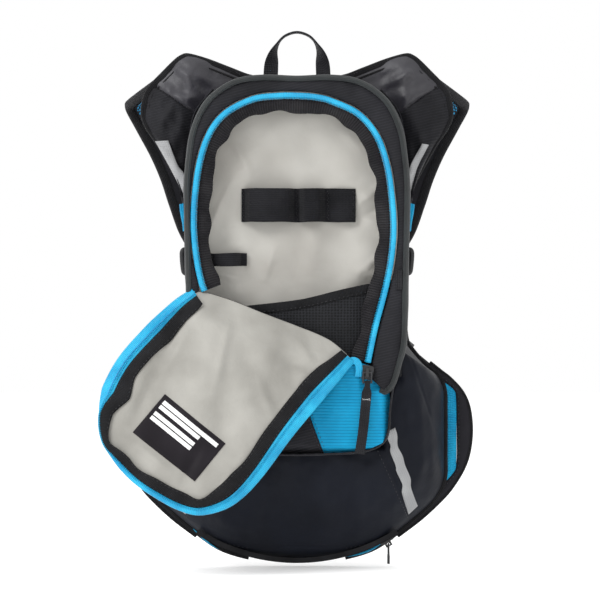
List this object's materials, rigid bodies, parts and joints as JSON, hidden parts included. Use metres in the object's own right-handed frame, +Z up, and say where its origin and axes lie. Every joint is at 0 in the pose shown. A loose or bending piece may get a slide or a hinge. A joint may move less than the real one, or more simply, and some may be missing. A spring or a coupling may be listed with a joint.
{
  "type": "hydration pack",
  "caption": "Slim hydration backpack with an open zipped front compartment and hanging flap, tool loops, mesh pocket, reservoir sleeve, hip fins, grab loop and a four-point chest harness.",
  "frame": {"origin": "inside of the grab loop's top, where a hook bears", "axes": "+Z up along the wearer's back, +X to the pack's right as seen from its front, -Y towards its front, harness on +Y"},
  "size_m": [0.333, 0.2466, 0.4974],
  "materials": {
    "board": "moulded sheet",
    "spacer_mesh": "knitted spacer mesh",
    "pad_foam": "foam under open mesh",
    "satin_fabric": "satin woven polyester",
    "ripstop_black": "ripstop nylon",
    "binding": "woven binding tape",
    "reflective": "retroreflective transfer",
    "webbing": "flat woven webbing",
    "blue_webbing": "flat woven webbing",
    "black_fabric": "coated woven nylon",
    "black_plastic": "moulded acetal",
    "clear_film": "welded polyurethane film",
    "blue_plastic": "moulded",
    "grey_lining": "plain woven polyester",
    "piping": "corded piping",
    "blue_zip": "coated water-resistant zip tape",
    "blue_ripstop": "ripstop nylon",
    "label": "printed satin label",
    "elastic": "ribbed elastic",
    "pocket_mesh": "knitted mesh",
    "black_metal": "black enamelled zinc",
    "strap_mesh": "padded mesh"
  },
  "bodies": {
    "pack": {"back_board": "board", "back_mesh": "spacer_mesh", "back_pads_upper": "pad_foam", "back_pads_lower": "pad_foam", "lumbar_pad": "pad_foam", "yoke_shoulders": "satin_fabric", "yoke_sides": "ripstop_black", "yoke_bindings": "binding", "yoke_reflective_strips": "reflective", "grab_loop": "webbing", "sleeve_wall": "black_fabric", "sleeve_front": "black_fabric", "reservoir_hanger": "black_plastic", "main_gusset": "black_fabric", "compartment_lining": "grey_lining", "front_piping": "piping", "front_border": "ripstop_black", "main_zip_tape": "blue_zip", "zip_flange": "binding", "lower_front_blue": "blue_ripstop", "lower_front_black": "ripstop_black", "tool_strap": "elastic", "small_strap": "elastic", "mesh_pocket": "pocket_mesh", "mesh_pocket_binding": "elastic", "lower_sides": "black_fabric", "lower_front": "black_fabric", "base_panel": "black_fabric", "lower_reflective_strips": "reflective", "fin_stripes": "blue_ripstop", "fin_edges": "binding", "side_loops": "blue_webbing", "side_buckles": "black_plastic", "side_tag": "label", "base_zip_tape": "blue_zip"},
    "flap": {"flap_panel": "ripstop_black", "flap_zip_tape": "blue_zip", "flap_lining": "grey_lining", "flap_binding": "binding", "flap_label": "label"},
    "main_slider": {"main_slider": "black_metal"},
    "main_link": {"main_pull_link": "black_metal"},
    "main_tab": {"main_pull_tab": "webbing"},
    "base_slider": {"base_slider": "black_metal"},
    "base_pull": {"base_pull": "black_metal"},
    "reservoir": {"reservoir_bladder": "clear_film", "reservoir_collar": "blue_plastic", "reservoir_outlet": "black_plastic"},
    "reservoir_cap": {"reservoir_cap": "blue_plastic"},
    "release_button": {"release_button": "blue_plastic"},
    "harness_right": {"shoulder_strap_right": "strap_mesh", "lower_strap_right": "webbing", "buckle_socket": "black_plastic"},
    "harness_left": {"shoulder_strap_left": "strap_mesh", "lower_strap_left": "webbing", "buckle_plug": "black_plastic"},
    "adjuster_right": {"strap_adjuster_right": "black_plastic"},
    "adjuster_left": {"strap_adjuster_left": "black_plastic"},
    "arm_upper": {"buckle_arm_upper": "black_plastic"},
    "arm_lower": {"buckle_arm_lower": "black_plastic"}
  },
  "joints": [
    {"name": "flap_hinge", "type": "hinge", "parent": "pack", "child": "flap", "pos_m": [-0.084, -0.0748, -0.242], "axis": [0.9361, 0, -0.3518], "range_deg": [-158, 0]},
    {"name": "main_slider_run", "type": "slide", "parent": "pack", "child": "main_slider", "axis": [0.1815, 0, 0.9834], "range_m": [0, 0.11]},
    {"name": "main_link_swing", "type": "hinge", "parent": "main_slider", "child": "main_link", "pos_m": [0.064, -0.0814, -0.316], "axis": [1, 0, 0], "range_deg": [-100, 0]},
    {"name": "main_tab_swing", "type": "hinge", "parent": "main_link", "child": "main_tab", "pos_m": [0.064, -0.0814, -0.325], "axis": [1, 0, 0], "range_deg": [-60, 0]},
    {"name": "base_slider_run", "type": "hinge", "parent": "pack", "child": "base_slider", "pos_m": [0, -0.011, -0.317], "axis": [0, 1, 0], "range_deg": [0, 56]},
    {"name": "base_pull_swing", "type": "hinge", "parent": "base_slider", "child": "base_pull", "pos_m": [0.08507, -0.011, -0.47699], "axis": [0, 1, 0], "range_deg": [-80, 24]},
    {"name": "reservoir_lift", "type": "slide", "parent": "pack", "child": "reservoir", "axis": [0, 0, 1], "range_m": [0, 0.35]},
    {"name": "cap_turn", "type": "hinge", "parent": "reservoir", "child": "reservoir_cap", "pos_m": [0, -0.029, -0.1264], "axis": [0, -1, 0], "range_deg": [0, 90]},
    {"name": "release_press", "type": "slide", "parent": "reservoir", "child": "release_button", "axis": [1, 0, 0], "range_m": [0, 0.0015], "stiffness_N_per_m": 300, "springref_m": -0.0005},
    {"name": "harness_right_swing", "type": "hinge", "parent": "pack", "child": "harness_right", "pos_m": [0.152, 0.01, -0.192], "axis": [0, 0, -1], "range_deg": [0, 90]},
    {"name": "harness_left_swing", "type": "hinge", "parent": "pack", "child": "harness_left", "pos_m": [-0.152, 0.01, -0.192], "axis": [0, 0, 1], "range_deg": [0, 90]},
    {"name": "adjuster_right_slide", "type": "slide", "parent": "harness_right", "child": "adjuster_right", "axis": [0.6517, -0.5295, -0.5431], "range_m": [-0.045, 0.045]},
    {"name": "adjuster_left_slide", "type": "slide", "parent": "harness_left", "child": "adjuster_left", "axis": [-0.6517, -0.5295, -0.5431], "range_m": [-0.045, 0.045]},
    {"name": "arm_upper_flex", "type": "hinge", "parent": "harness_left", "child": "arm_upper", "pos_m": [-0.0304, 0.088, -0.243], "axis": [0, 1, 0], "range_deg": [0, 5], "stiffness_Nm_per_rad": 0.05},
    {"name": "arm_lower_flex", "type": "hinge", "parent": "harness_left", "child": "arm_lower", "pos_m": [-0.0304, 0.088, -0.257], "axis": [0, 1, 0], "range_deg": [-5, 0], "stiffness_Nm_per_rad": 0.05}
  ],
  "couplings": [
    {"joint": "arm_lower_flex", "follows": "arm_upper_flex", "ratio": -1}
  ]
}
